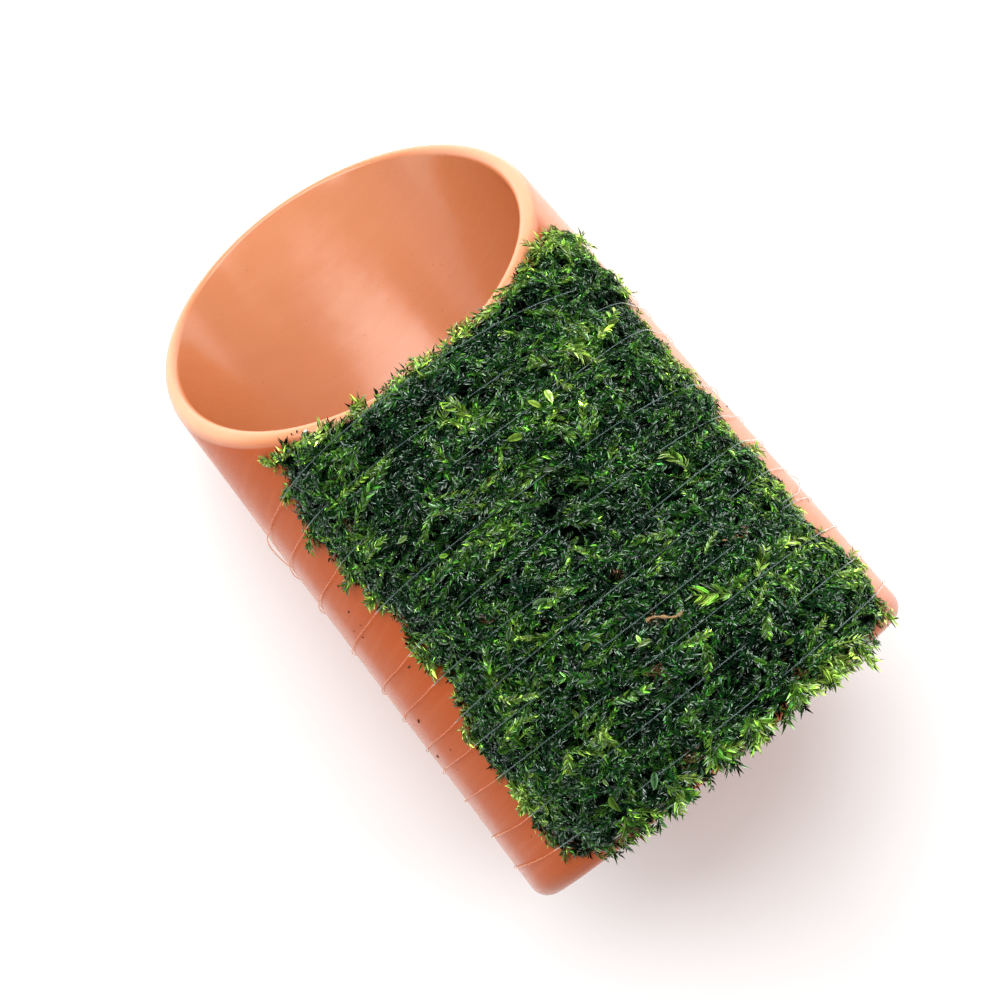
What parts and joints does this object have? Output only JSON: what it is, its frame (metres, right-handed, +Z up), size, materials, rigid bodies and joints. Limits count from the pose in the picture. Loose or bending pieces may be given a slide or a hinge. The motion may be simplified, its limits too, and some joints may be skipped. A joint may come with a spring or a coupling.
{
  "type": "willow moss on clay shelter",
  "caption": "Slant-cut clay tube, closed at one end, lying on its long side as an aquarium cave, with a mat of willow moss tied over its roof by one fine clear line.",
  "frame": {"origin": "middle of the underside, on the surface that the shelter rests on", "axes": "+Z up through the moss, +Y along the tube towards its closed end, so the slanted mouth faces -Y"},
  "size_m": [0.0716, 0.136, 0.0748],
  "materials": {
    "clay": "smooth unglazed orange terracotta with a soft satin polish",
    "moss": "wet dark green moss, a dense mat of tiny leafy fronds",
    "nylon_line": "clear glossy nylon line"
  },
  "bodies": {
    "root": {"shelter": "clay", "moss_mat": "moss", "binding_line": "nylon_line"}
  },
  "joints": []
}
